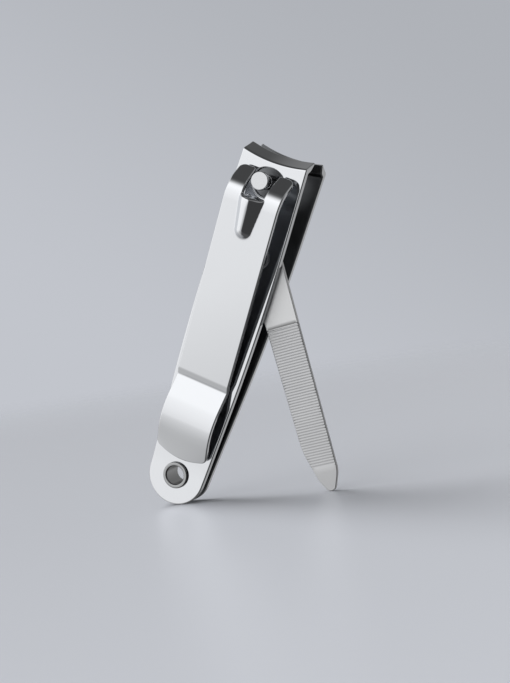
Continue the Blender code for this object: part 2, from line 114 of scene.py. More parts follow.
# Pin, eyelet and rivet: corners of half sections, as (radius, depth, fillet)
PIN_Z = 67.2
EYELET_SECTION = [
    (2.05, -3.0, 0.35), (2.95, -3.0, 0.35), (2.95, -2.6, 0.03), (2.4, -2.6, 0.05),
    (2.4, 2.6, 0.05), (2.95, 2.6, 0.03), (2.95, 3.0, 0.35), (2.05, 3.0, 0.35),
]
PIN_SECTION = [
    (0.0, 10.6, 0.0), (1.9, 10.6, 0.22), (1.9, 9.5, 0.12), (1.1, 9.5, 0.1), (1.1, 7.7, 0.15),
    (1.6, 7.7, 0.15), (1.6, -6.26, 0.1), (2.9, -6.26, 0.1), (2.9, -7.16, 0.3), (0.0, -7.16, 0.0),
]
RIVET_SECTION = [
    (0.0, 0.6, 0.0), (2.7, 0.55, 0.3), (2.7, 0.1, 0.1), (1.2, 0.1, 0.05), (1.2, -2.95, 0.05),
    (2.2, -2.95, 0.1), (2.2, -3.45, 0.2), (0.0, -3.45, 0.0),
]

# File, pointing down from its pivot
FILE_THICKNESS = 1.0
FILE_EDGE = 0.16
FILE_LENGTH = 51.4
FILE_OFFSET = 0.4
FILE_ROOT_HALF_WIDTH, FILE_TIP_HALF_WIDTH = 3.9, 3.3
FILE_ROOT_ROUNDING = 0.98          # part of the root's half width that its corners have
FILE_POINT_X = 0.5                 # its point, from the blade's middle line
# Corners of its tip, each as (across, up from the end, radius)
FILE_TIP_LEFT = [(0.0, 9.5, 18.0), (1.9, 2.6, 6.0)]     # across from the left side
FILE_TIP_POINT = [(-0.3, 0.0, 1.2), (1.2, 0.2, 1.0)]    # across from the point
FILE_TIP_RIGHT = [(0.0, 4.0, 6.0)]                      # across from the right side
FILE_HOLE_RADIUS = 1.3
FILE_DROP = 2.35                   # its middle plane below the upper arm's outer face
FILE_OUT_ANGLE = 35.7
GROOVE_PITCH = 0.58
GROOVE_WIDTH = 0.56                # part of the pitch that a groove takes
GROOVE_DEPTH = 0.13
GROOVE_FADE = (1.7, 1.0, 0.45)     # part of that depth at the first groove, the second and the last
GROOVES_START, GROOVES_END = 15.3, 46.3

# Camera, fitted to 11 corners and centres and to 21 places along the clipper's edges
CAMERA_AZIMUTH, CAMERA_ELEVATION, CAMERA_ROLL = 22.03, 1.0, -8.28
CAMERA_DISTANCE = 250.0
CAMERA_LENS = 61.28
CAMERA_AIM = (14.5, 1.9, 36.8)     # world offset of the aim from the eyelet, before the shift
CAMERA_SHIFT_RIGHT, CAMERA_SHIFT_UP = 9.18, -8.96

# Studio: brightness by elevation in degrees, of the big softbox at the front left and of the rest
SOFTBOX_LEVELS = [(-72, 0.12), (-50, 0.57), (-30, 0.70), (-16, 0.93), (-11, 1.10), (0, 1.20), (18, 1.30),
                  (32, 1.45), (42, 1.38), (52, 0.70), (62, 0.25), (74, 0.08)]
ROOM_LEVELS = [(-72, 0.10), (-42, 0.16), (-24, 0.50), (0, 0.42), (35, 0.30), (60, 0.08)]
SOFTBOX_SIDE = (-0.87, -0.5, 0.0)  # direction of its middle
SOFTBOX_INNER, SOFTBOX_OUTER = 60.0, 76.0
# Patches over that: direction, angle of full and of no effect, brightness. Later ones lie on top.
STUDIO_PATCHES = [
    ((-0.35, 0.5, 0.87), 6, 26, 0.28),      # paler part of the ceiling, behind
    ((-0.55, 0.83, -0.1), 24, 46, 0.10),    # dark flag, back left, which outlines the left edges
    ((0.75, -0.55, -0.45), 37, 54, 0.06),   # black flag, front right
]
SUN_DIRECTION = (-0.66, 0.22, 0.70)
SUN_ANGLE, SUN_STRENGTH = 44.0, 2.45
BACKDROP_COLOUR = (194, 197, 204)  # 8-bit display colours
# Painted shade on the backdrop: it darkens towards the upper right, away from the softbox at the front left.
BACKDROP_PAINTED_SHADE_COLOUR = (175, 178, 184)
BACKDROP_PAINTED_SHADE_SIDE = (0.54, 0.22, 0.81)
BACKDROP_PAINTED_SHADE_ANGLE, BACKDROP_PALE_ANGLE = 71.0, 95.5
FLOOR_TINT = (0.600, 0.620, 0.668)
FLOOR_FADE_START, FLOOR_FADE_END = 0.20, 0.75
FLOOR_REACH = 3.0
FLOOR_RINGS, FLOOR_SPOKES = 24, 96
FLOOR_ROUGHNESS, FLOOR_SPECULAR = 0.4, 0.25

# Platings, and two darker ones that paint shade on inner faces: colour, least and most roughness, height of
# the sheet's waviness in metres
CHROME_PLATING = ((0.655, 0.668, 0.690), 0.02, 0.06, 0.00001)
# Painted shade: the arms' inner faces, which lie in shade across the narrow gap between the arms, get a dark
# grey plating colour.
ARM_INSIDE_PAINTED_SHADE = ((0.16, 0.166, 0.175), 0.30, 0.38, 0.000002)
# Painted shade: the lever's inner face, which lies in shade over the upper arm, gets a greyer plating colour.
LEVER_INSIDE_PAINTED_SHADE = ((0.46, 0.475, 0.50), 0.30, 0.38, 0.000002)
PIN_PLATING = ((0.56, 0.57, 0.585), 0.08, 0.16, 0.000006)
EYELET_PLATING = ((0.33, 0.335, 0.34), 0.10, 0.20, 0.000004)
# Steels of the file: the dark and the light grey of their patches
FILE_STEEL = ((0.565, 0.572, 0.580), (0.735, 0.742, 0.750))
CUT_FILE_STEEL = ((0.43, 0.435, 0.445), (0.56, 0.565, 0.575))

# Grids that divide the sheets' faces: distances in millimetres, and numbers of lines
COARSE_STEP, FINE_STEP = 1.5, 0.5
END_MARGIN = 0.3                   # from the last line of a grid to the sheet's end
RIM_CLEARANCE = 0.12               # least distance from a grid point to a rim
ARM_GRID_LINES = 25
ARM_GRID_START = -5
CORNER_GRID_BEFORE, CORNER_GRID_AFTER, CORNER_GRID_LINES = 1.1, 0.6, 24
HOLLOW_GRID_STOP = 1.2             # before the jaw's corner
BEVEL_GRID_START, BEVEL_GRID_LINES = 0.9, 8
NOSE_GRID_HALF_WIDTH, NOSE_GRID_ACROSS, NOSE_GRID_ALONG = 3.0, 41, 60
NOSE_GRID_LEAD = 0.8               # ahead of the nose's heel
FLANK_GRID_FROM, FLANK_GRID_TO, FLANK_GRID_LINES = 3.2, 5.7, 5
PAD_GRID_START, PAD_GRID_LINES = 0.5, 110
PRONG_GRID_GAP, PRONG_GRID_LINES = 0.2, 40
FILE_GRID_LINES = 13
FILE_GRID_START = -2
FILE_GRID_GAP_ABOVE, FILE_GRID_GAP_BELOW = 0.4, 0.9     # clear of the grooves
FILE_TIP_STEP, FILE_TIP_MARGIN = 1.0, 0.5
LEVER_OUTLINE_SPACING, FILE_OUTLINE_SPACING = 0.15, 0.12

TURNED_SEGMENTS = 96
ARC_STEP = math.radians(6)
PATH_ARC_STEP = math.radians(0.3)
DOUBLED_DISTANCE = 1e-6            # points closer than this are one point
TRIANGULATION_TOLERANCE = 1e-7
BEND_STEP = 0.005                  # over which the bend's directions are measured
INNER_PART = 0.75                  # of a sheet's thickness, beyond which its inner face lies


# ---------------------------------------------------------------- frame and measuring

def clipper_frame(joints):
    across = -Vector(joints["jaw_close"]["axis"])
    back = -Vector(joints["pin_swivel"]["axis"])
    along = across.cross(back)
    rotation = Matrix((across, back, along)).transposed().to_4x4()
    return Matrix.Translation(Vector(joints["jaw_close"]["pos_m"])) @ rotation


def local_points(node, to_world):
    points = np.array([vertex.co for vertex in node.data.vertices])
    back = np.array(to_world.inverted())
    return points @ back[:3, :3].T + back[:3, 3]


# ---------------------------------------------------------------- outlines and paths

def unit(vector):
    return vector / np.linalg.norm(vector)


def turn_by(vector, angle):
    c, s = math.cos(angle), math.sin(angle)
    return np.array([c * vector[0] - s * vector[1], s * vector[0] + c * vector[1]])


def rounded(corners, closed=False, spacing=0.4, arc_step=ARC_STEP):
    """Points and unit directions along a polyline whose corners (a, b, radius) are rounded."""
    spots = [np.array(corner[:2], float) for corner in corners]
    points, directions = [], []
    for i, (here, corner) in enumerate(zip(spots, corners)):
        if not closed and i in (0, len(spots) - 1):
            ahead = unit(spots[1] - here) if i == 0 else unit(here - spots[-2])
            points.append(here)
            directions.append(ahead)
            continue
        incoming = unit(here - spots[i - 1])
        outgoing = unit(spots[(i + 1) % len(spots)] - here)
        cross = incoming[0] * outgoing[1] - incoming[1] * outgoing[0]
        turn = math.atan2(cross, incoming @ outgoing)
        radius = corner[2]
        side = math.copysign(1, turn)
        start = here - incoming * radius * math.tan(abs(turn) / 2)
        centre = start + turn_by(incoming, side * math.pi / 2) * radius
        steps = max(1, math.ceil(abs(turn) / arc_step), math.ceil(abs(turn) * radius / spacing))
        for k in range(steps + 1):
            angle = turn * k / steps
            points.append(centre + turn_by(start - centre, angle))
            directions.append(turn_by(incoming, angle))
    return filled(np.array(points), np.array(directions), closed, spacing)


def filled(points, directions, closed, spacing):
    """Adds points to runs longer than the spacing, and drops doubled ones."""
    out_points, out_directions = [], []
    last = len(points) if closed else len(points) - 1
    for i in range(last):
        j = (i + 1) % len(points)
        run = np.linalg.norm(points[j] - points[i])
        if run < DOUBLED_DISTANCE:
            continue
        steps = max(1, math.ceil(run / spacing))
        for k in range(steps):
            part = k / steps
            out_points.append(points[i] + (points[j] - points[i]) * part)
            out_directions.append(unit(directions[i] * (1 - part) + directions[j] * part))
    if not closed:
        out_points.append(points[-1])
        out_directions.append(directions[-1])
    return np.array(out_points), np.array(out_directions)


def circle(centre, radius, segments=72):
    """A hole: it runs clockwise, so that its right side is out of the material."""
    angles = -np.arange(segments) * 2 * math.pi / segments
    spokes = np.column_stack([np.cos(angles), np.sin(angles)])
    return np.array(centre) + spokes * radius, np.column_stack([spokes[:, 1], -spokes[:, 0]])


class SidePath:
    """A bent outer face seen from the side: z, depth and heading at a length s along it."""

    def __init__(self, corners, zero_z=None):
        points, directions = rounded(corners, spacing=1.0, arc_step=PATH_ARC_STEP)
        steps = np.linalg.norm(np.diff(points, axis=0), axis=1)
        self.s = np.concatenate([[0.0], np.cumsum(steps)])
        self.z, self.depth = points.T
        self.heading = np.unwrap(np.arctan2(directions[:, 1], directions[:, 0]))
        if zero_z is not None:
            self.s = self.s - np.interp(zero_z, self.z, self.s)

    def at(self, s):
        inside = np.clip(s, self.s[0], self.s[-1])
        heading = np.interp(s, self.s, self.heading)
        z = np.interp(inside, self.s, self.z) + (s - inside) * np.cos(heading)
        depth = np.interp(inside, self.s, self.depth) + (s - inside) * np.sin(heading)
        return z, depth, heading

    def length_to(self, z):
        return float(np.interp(z, self.z, self.s))


# ---------------------------------------------------------------- flat patterns

def inside_loop(points, loop):
    """Even-odd test of many points against one closed loop."""
    x, y = points[:, 0][:, None], points[:, 1][:, None]
    ax, ay = loop.T
    bx, by = np.roll(loop, -1, axis=0).T
    spans = (ay > y) != (by > y)
    rise = np.where(by == ay, 1, by - ay)
    hits = spans & (x < (bx - ax) * (y - ay) / rise + ax)
    return hits.sum(axis=1) % 2 == 1


def flat_pattern(loops, thickness, edges, grid_x, grid_s):
    """Flat sheet with holes and rounded edges.

    The first loop is the outline, counter-clockwise, and the others are holes, clockwise.
    Returns its points (x, s, t), faces and outward normals.
    """
    quarter = np.radians([90, 67.5, 45, 22.5, 0])
    points, normals, faces = [], [], []
    top_ids, bottom_ids = [], []
    rims = []
    for (loop, directions), edge in zip(loops, edges):
        outward = np.column_stack([directions[:, 1], -directions[:, 0]])
        profile = [(edge * (1 - math.cos(a)), edge * (1 - math.sin(a)), math.cos(a), -math.sin(a))
                   for a in quarter]
        profile += [(inset, thickness - t, out, -down) for inset, t, out, down in reversed(profile)]
        first = len(points)
        for inset, t, out, down in profile:
            for spot, normal in zip(loop - outward * inset, outward * out):
                points.append((*spot, t))
                normals.append((*normal, down))
        count = len(loop)
        for ring in range(len(profile) - 1):
            for i in range(count):
                j = (i + 1) % count
                a, b = first + ring * count, first + (ring + 1) * count
                faces.append((a + i, a + j, b + j, b + i))
        rims.append(loop - outward * edge)
        top_ids.append(np.arange(first, first + count))
        bottom_ids.append(np.arange(count) + first + (len(profile) - 1) * count)
    faces += face_triangles(points, normals, rims, top_ids, bottom_ids, thickness, grid_x, grid_s)
    return np.array(points), faces, np.array(normals)


def face_triangles(points, normals, rims, top_ids, bottom_ids, thickness, grid_x, grid_s):
    """Fills both faces of a flat pattern, with the grid's points inside, and adds those points."""
    grid = np.array([(x, s) for s in grid_s for x in grid_x])
    keep = inside_loop(grid, rims[0])
    for rim in rims[1:]:
        keep &= ~inside_loop(grid, rim)
    grid = grid[keep]
    border = np.concatenate(rims)
    clear = np.array([np.min(np.hypot(*(border - spot).T)) for spot in grid]) > RIM_CLEARANCE
    grid = grid[clear]
    edges, start = [], 0
    for rim in rims:
        edges += [(start + i, start + (i + 1) % len(rim)) for i in range(len(rim))]
        start += len(rim)
    wanted = [Vector(spot) for spot in np.concatenate([border, grid])]
    found, _, triangles, origins, _, _ = delaunay_2d_cdt(wanted, edges, [], 1, TRIANGULATION_TOLERANCE)
    top_of = list(np.concatenate(top_ids))
    bottom_of = list(np.concatenate(bottom_ids))
    for spot in grid:
        for ids, t, down in ((top_of, 0, -1), (bottom_of, thickness, 1)):
            ids.append(len(points))
            points.append((*spot, t))
            normals.append((0, 0, down))
    corners = np.array([[found[i] for i in triangle] for triangle in triangles])
    middles = corners.mean(axis=1)
    in_hole = np.zeros(len(triangles), bool)
    for rim in rims[1:]:
        in_hole |= inside_loop(middles, rim)
    faces = []
    for triangle, drop in zip(triangles, in_hole):
        if not drop:
            ids = [origins[i][0] for i in triangle]
            faces.append(tuple(top_of[i] for i in reversed(ids)))
            faces.append(tuple(bottom_of[i] for i in ids))
    return faces


def inner_faces(pattern, thickness):
    """Which faces lie on the inner side of a sheet: a list of flags."""
    points, faces, _ = pattern
    deep = points[:, 2] > thickness * INNER_PART
    return [all(deep[i] for i in face) for face in faces]


def mapped(pattern, place):
    """Carries a flat pattern through place(x, s, t), normals included."""
    points, faces, normals = pattern
    step = BEND_STEP
    x, s, t = points.T
    along_x = place(x + step, s, t) - place(x - step, s, t)
    along_s = place(x, s + step, t) - place(x, s - step, t)
    along_t = place(x, s, t + step) - place(x, s, t - step)
    volume = np.einsum("ij,ij->i", along_x, np.cross(along_s, along_t))
    out = (normals[:, :1] * np.cross(along_s, along_t) + normals[:, 1:2] * np.cross(along_t, along_x)
           + normals[:, 2:] * np.cross(along_x, along_s))
    out *= np.sign(np.median(volume))
    out /= np.linalg.norm(out, axis=1)[:, None]
    if np.median(volume) < 0:
        faces = [tuple(reversed(face)) for face in faces]
    return place(x, s, t), faces, out


def add_piece(name, shape, to_world, material, second=None, second_material=None):
    """Makes the object from points in nominal millimetres, faces and vertex normals.

    second flags the faces that take the second material.
    """
    points, faces, normals = shape
    matrix = np.array(to_world)
    world = points * MM @ matrix[:3, :3].T + matrix[:3, 3]
    mesh = bpy.data.meshes.new(name)
    mesh.from_pydata(world.tolist(), [], faces)
    mesh.shade_smooth()
    mesh.update()
    mesh.normals_split_custom_set_from_vertices((normals @ matrix[:3, :3].T).tolist())
    mesh.materials.append(material)
    if second:
        mesh.materials.append(second_material)
        mesh.polygons.foreach_set("material_index", [int(flag) for flag in second])
    piece = bpy.data.objects.new(name, mesh)
    bpy.context.collection.objects.link(piece)
    return piece


def turned(section, closed):
    """Solid of revolution about the depth axis from corners (radius, depth, fillet).

    A closed section makes a ring. An open one starts and ends on the axis, in fans of triangles.
    """
    line, directions = rounded(section, closed=closed, spacing=1.0)
    out = np.column_stack([-directions[:, 1], directions[:, 0]])
    widest = np.argmax(line[:, 0])
    if out[widest, 0] < 0:
        out = -out
    angles = np.arange(TURNED_SEGMENTS) * 2 * math.pi / TURNED_SEGMENTS
    spin = np.column_stack([np.cos(angles), np.sin(angles)])
    points, normals, faces = [], [], []
    for (radius, depth), (out_radius, out_depth) in zip(line, out):
        for c, s in spin:
            points.append((radius * c, -depth, radius * s))
            normals.append((out_radius * c, -out_depth, out_radius * s))
    rings = len(line) if closed else len(line) - 1
    for ring in range(rings):
        low = ring * TURNED_SEGMENTS
        high = (ring + 1) % len(line) * TURNED_SEGMENTS
        for i in range(TURNED_SEGMENTS):
            j = (i + 1) % TURNED_SEGMENTS
            if line[ring][0] == 0:
                faces.append((low + i, high + j, high + i))
            elif line[(ring + 1) % len(line)][0] == 0:
                faces.append((low + i, low + j, high + j))
            else:
                faces.append((low + i, low + j, high + j, high + i))
    points, normals = np.array(points), np.array(normals)
    a, b, c = (points[[face[k] for face in faces]] for k in range(3))
    facing = np.einsum("ij,ij->i", np.cross(b - a, c - a), normals[[face[0] for face in faces]])
    if np.sum(facing) < 0:
        faces = [tuple(reversed(face)) for face in faces]
    return points, faces, normals


# ---------------------------------------------------------------- pieces

def soft_floor(value, softness):
    """value where it is positive, 0 where it is negative, with a soft corner."""
    return (value + np.sqrt(value ** 2 + softness ** 2)) / 2


def offset_inward(corners, distance):
    """Corners (z, depth) of a side path, moved square to it, with mitred bends."""
    spots = [np.array(corner) for corner in corners]
    headings = [unit(after - before) for before, after in zip(spots, spots[1:])]
    moved = []
    for i, spot in enumerate(spots):
        before, after = headings[max(i - 1, 0)], headings[min(i, len(headings) - 1)]
        square = turn_by(unit(before + after), -math.pi / 2)
        moved.append(spot + square * distance / (square @ turn_by(after, -math.pi / 2)))
    return moved


def arm_paths():
    """Side paths of an arm's outer and inner face, and how lengths along them match."""
    corners = [
        (-TAIL_RADIUS, TAIL_HALF_STACK),
        (FLARE_Z, TAIL_HALF_STACK),
        (JAW_CORNER_Z, JAW_CORNER_DEPTH),
        (CUTTING_Z, CUTTING_DEPTH),
    ]
    radii = [0.0, FLARE_BEND_RADIUS, JAW_CORNER_RADIUS, 0.0]
    inner_radii = [0.0, FLARE_BEND_RADIUS + ARM_THICKNESS, JAW_INNER_RADIUS, 0.0]
    inner_corners = offset_inward(corners, ARM_THICKNESS)
    outer = SidePath([(*spot, radius) for spot, radius in zip(corners, radii)], zero_z=0.0)
    inner = SidePath([(*spot, radius) for spot, radius in zip(inner_corners, inner_radii)], zero_z=0.0)
    return outer, inner, matched_lengths(outer, inner, corners, inner_corners)


def matched_lengths(outer, inner, corners, inner_corners):
    """Lengths on the outer path and the ones squarely across on the inner, past the jaw's corner."""
    outer_jaw = np.linalg.norm(np.subtract(corners[-1], corners[-2]))
    inner_jaw = np.linalg.norm(np.subtract(inner_corners[-1], inner_corners[-2]))
    outer_corner, inner_corner = outer.s[-1] - outer_jaw, inner.s[-1] - inner_jaw
    clear = 2 * JAW_INNER_RADIUS
    mitre = outer_jaw - inner_jaw + clear
    outside = [outer.s[0] - 1, 0.0, outer_corner - mitre, outer_corner + mitre, outer.s[-1] + 1]
    inside = [inner.s[0] - 1, 0.0, inner_corner - clear, inner_corner + clear, inner.s[-1] + 1]
    return outside, inside


def arm_outline(path):
    """Round tail, sides that bulge in the middle, and a square jaw."""
    end, middle = path.s[-1], path.length_to(MID_Z)
    widening = math.atan2(MID_HALF_WIDTH, MID_Z) - math.asin(TAIL_RADIUS / math.hypot(MID_HALF_WIDTH, MID_Z))
    tail_x = TAIL_RADIUS * (1 / math.cos(widening) - math.tan(widening))
    tail_round = TAIL_RADIUS * TAIL_ROUNDING
    return [
        (-tail_x, -TAIL_RADIUS, tail_round), (tail_x, -TAIL_RADIUS, tail_round),
        (MID_HALF_WIDTH, middle, SIDE_BULGE_RADIUS), (JAW_HALF_WIDTH, end, JAW_OUTLINE_ROUND),
        (-JAW_HALF_WIDTH, end, JAW_OUTLINE_ROUND), (-MID_HALF_WIDTH, middle, SIDE_BULGE_RADIUS),
    ]


def arm_grid(corner, end):
    """Grid lines across and along an arm, close together where the jaw bends and is hollow."""
    across = np.linspace(-JAW_HALF_WIDTH, JAW_HALF_WIDTH, ARM_GRID_LINES)
    along = np.concatenate([
        np.arange(ARM_GRID_START, corner - HOLLOW_RUN, COARSE_STEP),
        np.arange(corner - HOLLOW_RUN, corner - HOLLOW_GRID_STOP, FINE_STEP),
        np.linspace(corner - CORNER_GRID_BEFORE, corner + CORNER_GRID_AFTER, CORNER_GRID_LINES),
        np.linspace(corner + BEVEL_GRID_START, end - END_MARGIN, BEVEL_GRID_LINES),
    ])
    return across, along


def arm_shape(side, holes):
    """One arm; side is 1 for the lever's side and -1 for the far one."""
    path, inner, (outer_lengths, inner_lengths) = arm_paths()
    end = path.s[-1]
    corner = path.length_to(JAW_CORNER_Z)
    loops = [rounded(arm_outline(path), closed=True)]
    loops += [circle((x, path.length_to(z)), radius) for x, z, radius, _ in holes]
    edges = [ARM_EDGE] + [edge for _, _, _, edge in holes]
    pattern = flat_pattern(loops, ARM_THICKNESS, edges, *arm_grid(corner, end))

    def place(x, s, t):
        z, depth, _ = path.at(s)
        inner_z, inner_depth, _ = inner.at(np.interp(s, outer_lengths, inner_lengths))
        near_jaw = np.clip((s - corner + HOLLOW_RUN) / HOLLOW_RUN, 0, 1)
        hollow = JAW_HOLLOW * near_jaw ** 2 * (1 - (x / JAW_HALF_WIDTH) ** 2)
        ground = np.clip((s - end + GRIND_LENGTH) / GRIND_LENGTH, 0, 1)
        inward = t / ARM_THICKNESS * (1 + (CUTTING_THICKNESS / ARM_THICKNESS - 1) * ground)
        depth = depth + (inner_depth - depth) * inward
        return np.column_stack([x, -side * depth, z + (inner_z - z) * inward - hollow])

    return mapped(pattern, place), inner_faces(pattern, ARM_THICKNESS)


def with_seat(shape, inside):
    """The lower arm's shape with the ring added that keeps the arms apart at the tail."""
    points, faces, normals = shape
    inner_face = TAIL_HALF_STACK - ARM_THICKNESS
    foot, top = -inner_face - ARM_THICKNESS / 2, inner_face - SMALL_GAP
    corners = [(EYELET_HOLE_RADIUS, foot), (SEAT_RADIUS, foot), (SEAT_RADIUS, top), (EYELET_HOLE_RADIUS, top)]
    ring_points, ring_faces, ring_normals = turned([(*corner, SEAT_EDGE) for corner in corners], True)
    ring_faces = [tuple(i + len(points) for i in face) for face in ring_faces]
    joined = np.vstack([points, ring_points]), faces + ring_faces, np.vstack([normals, ring_normals])
    # The ring takes the painted shade of the arms' inner faces.
    return joined, inside + [True] * len(ring_faces)


def nose_height(x, s, path):
    """Rounded nose behind the fork: a dome over a tongue-shaped outline, cut off towards the pin."""
    heel = path.length_to(NOSE_HEEL_Z) + NOSE_HEEL_RADIUS
    root = path.length_to(NOSE_ROOT_Z)
    crest = path.length_to(NOSE_CREST_Z)
    half_width = np.interp(s, [heel, root], [NOSE_HEEL_RADIUS, NOSE_ROOT_HALF_WIDTH])
    height = np.interp(s, [heel, crest], [NOSE_HEEL_HEIGHT, NOSE_CREST_HEIGHT])
    outward = np.hypot(x, np.minimum(s - heel, 0)) / half_width
    roof = soft_floor(height * (1 - outward ** NOSE_FULLNESS), NOSE_FOOT_ROUND)
    front = np.clip(1 - (s - crest) / NOSE_FRONT_RUN, 0, 1)
    return roof * front ** 2 * (3 - 2 * front)


def lever_outline(end, floor_s, lip_s):
    """Long plate with a fork; floor_s and lip_s are where the slot's floor and lip lie along it."""
    return [
        (-LEVER_HALF_WIDTH, 0.0, LEVER_END_ROUND), (LEVER_HALF_WIDTH, 0.0, LEVER_END_ROUND),
        (LEVER_HALF_WIDTH, end, LEVER_TIP_ROUND), (SLOT_MOUTH_HALF_WIDTH, end, SLOT_MOUTH_ROUND),
        (SLOT_FLOOR_HALF_WIDTH, floor_s, SLOT_FLOOR_ROUND), (SLOT_LIP_HALF_WIDTH, lip_s, SLOT_LIP_ROUND),
        (-SLOT_LIP_HALF_WIDTH, lip_s, SLOT_LIP_ROUND), (-SLOT_FLOOR_HALF_WIDTH, floor_s, SLOT_FLOOR_ROUND),
        (-SLOT_MOUTH_HALF_WIDTH, end, SLOT_MOUTH_ROUND), (-LEVER_HALF_WIDTH, end, LEVER_TIP_ROUND),
    ]


def lever_grid(path, lip_s):
    """Grid lines across and along the lever, close together on the pad, the nose and the prongs."""
    across = np.concatenate([
        np.linspace(-FLANK_GRID_TO, -FLANK_GRID_FROM, FLANK_GRID_LINES),
        np.linspace(-NOSE_GRID_HALF_WIDTH, NOSE_GRID_HALF_WIDTH, NOSE_GRID_ACROSS),
        np.linspace(FLANK_GRID_FROM, FLANK_GRID_TO, FLANK_GRID_LINES),
    ])
    plate_start = path.length_to(PLATE_START_Z)
    nose_start = path.length_to(NOSE_HEEL_Z) - NOSE_GRID_LEAD
    along = np.concatenate([
        np.linspace(PAD_GRID_START, plate_start, PAD_GRID_LINES),
        np.arange(plate_start + FINE_STEP, nose_start, COARSE_STEP),
        np.linspace(nose_start, lip_s, NOSE_GRID_ALONG),
        np.linspace(lip_s + PRONG_GRID_GAP, path.s[-1] - END_MARGIN, PRONG_GRID_LINES),
    ])
    return across, along


def lever_shape():
    """Bent lever with its fork, nose, step and thumb pad."""
    path = SidePath(LEVER_CORNERS)
    floor_s, lip_s = path.length_to(SLOT_FLOOR_Z), path.length_to(SLOT_LIP_Z)
    outline = rounded(lever_outline(path.s[-1], floor_s, lip_s), closed=True, spacing=LEVER_OUTLINE_SPACING)
    pattern = flat_pattern([outline], LEVER_THICKNESS, [LEVER_EDGE], *lever_grid(path, lip_s))

    def place(x, s, t):
        z, depth, heading = path.at(s)
        bow = LEVER_END_BOW * np.clip(1 - s / LEVER_BOW_RUN, 0, None) ** 2
        inward = t - nose_height(x, s, path)
        depth = depth - inward * np.cos(heading)
        swept = bow * (1 - (x / LEVER_HALF_WIDTH) ** 2)
        return np.column_stack([x, -depth, z + inward * np.sin(heading) - swept])

    return mapped(pattern, place), inner_faces(pattern, LEVER_THICKNESS)


def groove_depth(along):
    """Narrow grooves cut across the file, a little shallower towards the tip."""
    phase = (along - GROOVES_START) / GROOVE_PITCH % 1
    notch = np.clip(1 - np.abs(phase - GROOVE_WIDTH / 2) / (GROOVE_WIDTH / 2), 0, 1)
    inside = (along > GROOVES_START) & (along < GROOVES_END)
    fade = np.interp(along, [GROOVES_START, GROOVES_START + GROOVE_PITCH, GROOVES_END], GROOVE_FADE)
    return GROOVE_DEPTH * fade * np.where(inside, notch, 0)


def file_outline():
    """Nearly round root, tapering sides, and a point towards the right of the tip."""
    left_root, right_root = FILE_OFFSET - FILE_ROOT_HALF_WIDTH, FILE_OFFSET + FILE_ROOT_HALF_WIDTH
    root_round = FILE_ROOT_HALF_WIDTH * FILE_ROOT_ROUNDING
    outline = [(left_root, FILE_ROOT_HALF_WIDTH, root_round)]
    for origin, corners in (
        (FILE_OFFSET - FILE_TIP_HALF_WIDTH, FILE_TIP_LEFT),
        (FILE_OFFSET + FILE_POINT_X, FILE_TIP_POINT),
        (FILE_OFFSET + FILE_TIP_HALF_WIDTH, FILE_TIP_RIGHT),
    ):
        outline += [(origin + across, -FILE_LENGTH + up, radius) for across, up, radius in corners]
    return outline + [(right_root, FILE_ROOT_HALF_WIDTH, root_round)]


def file_grid():
    """Grid lines across and along the file: three to each groove, and wider apart elsewhere."""
    across = np.linspace(FILE_OFFSET - FILE_ROOT_HALF_WIDTH, FILE_OFFSET + FILE_ROOT_HALF_WIDTH,
                         FILE_GRID_LINES)
    grooves = int((GROOVES_END - GROOVES_START) / GROOVE_PITCH)
    cuts = [GROOVES_START + (i + part * GROOVE_WIDTH) * GROOVE_PITCH
            for i in range(grooves) for part in (0.0, 0.5, 1.0)]
    root = np.arange(FILE_GRID_START, GROOVES_START - FILE_GRID_GAP_ABOVE, COARSE_STEP)
    tip = np.arange(GROOVES_END + FILE_GRID_GAP_BELOW, FILE_LENGTH - FILE_TIP_MARGIN, FILE_TIP_STEP)
    return across, -np.array(sorted([*cuts, *root, *tip]))


def file_shape():
    """Flat file with grooves cut into both faces, and which of its faces are cut."""
    outline = rounded(file_outline(), closed=True, spacing=FILE_OUTLINE_SPACING)
    loops = [outline, circle((0, 0), FILE_HOLE_RADIUS)]
    pattern = flat_pattern(loops, FILE_THICKNESS, [FILE_EDGE, FILE_EDGE], *file_grid())

    def place(x, s, t):
        cut = groove_depth(-s)
        level = t + cut * (1 - 2 * t / FILE_THICKNESS)
        return np.column_stack([x, level - FILE_THICKNESS / 2, s])

    points, faces, _ = pattern
    cut = [bool(points[list(face), 1].max() < -GROOVES_START) for face in faces]
    return mapped(pattern, place), cut


# ---------------------------------------------------------------- materials

def shader_of(name):
    material = bpy.data.materials.new(name)
    material.use_nodes = True
    return material, material.node_tree, material.node_tree.nodes["Principled BSDF"]


def noise(tree, scale, detail):
    """Noise over the object's own coordinates; scale is in features per metre."""
    coordinates = tree.nodes.new("ShaderNodeTexCoord")
    texture = tree.nodes.new("ShaderNodeTexNoise")
    texture.inputs["Scale"].default_value = scale
    texture.inputs["Detail"].default_value = detail
    tree.links.new(coordinates.outputs["Object"], texture.inputs["Vector"])
    return texture.outputs["Fac"]


def ranged(tree, value, low, high, start=0.0, end=1.0):
    node = tree.nodes.new("ShaderNodeMapRange")
    node.inputs["From Min"].default_value = start
    node.inputs["From Max"].default_value = end
    node.inputs["To Min"].default_value = low
    node.inputs["To Max"].default_value = high
    tree.links.new(value, node.inputs["Value"])
    return node.outputs["Result"]


def bump(tree, shader, height, distance, strength=1.0):
    node = tree.nodes.new("ShaderNodeBump")
    node.inputs["Distance"].default_value = distance
    node.inputs["Strength"].default_value = strength
    tree.links.new(height, node.inputs["Height"])
    tree.links.new(node.outputs["Normal"], shader.inputs["Normal"])


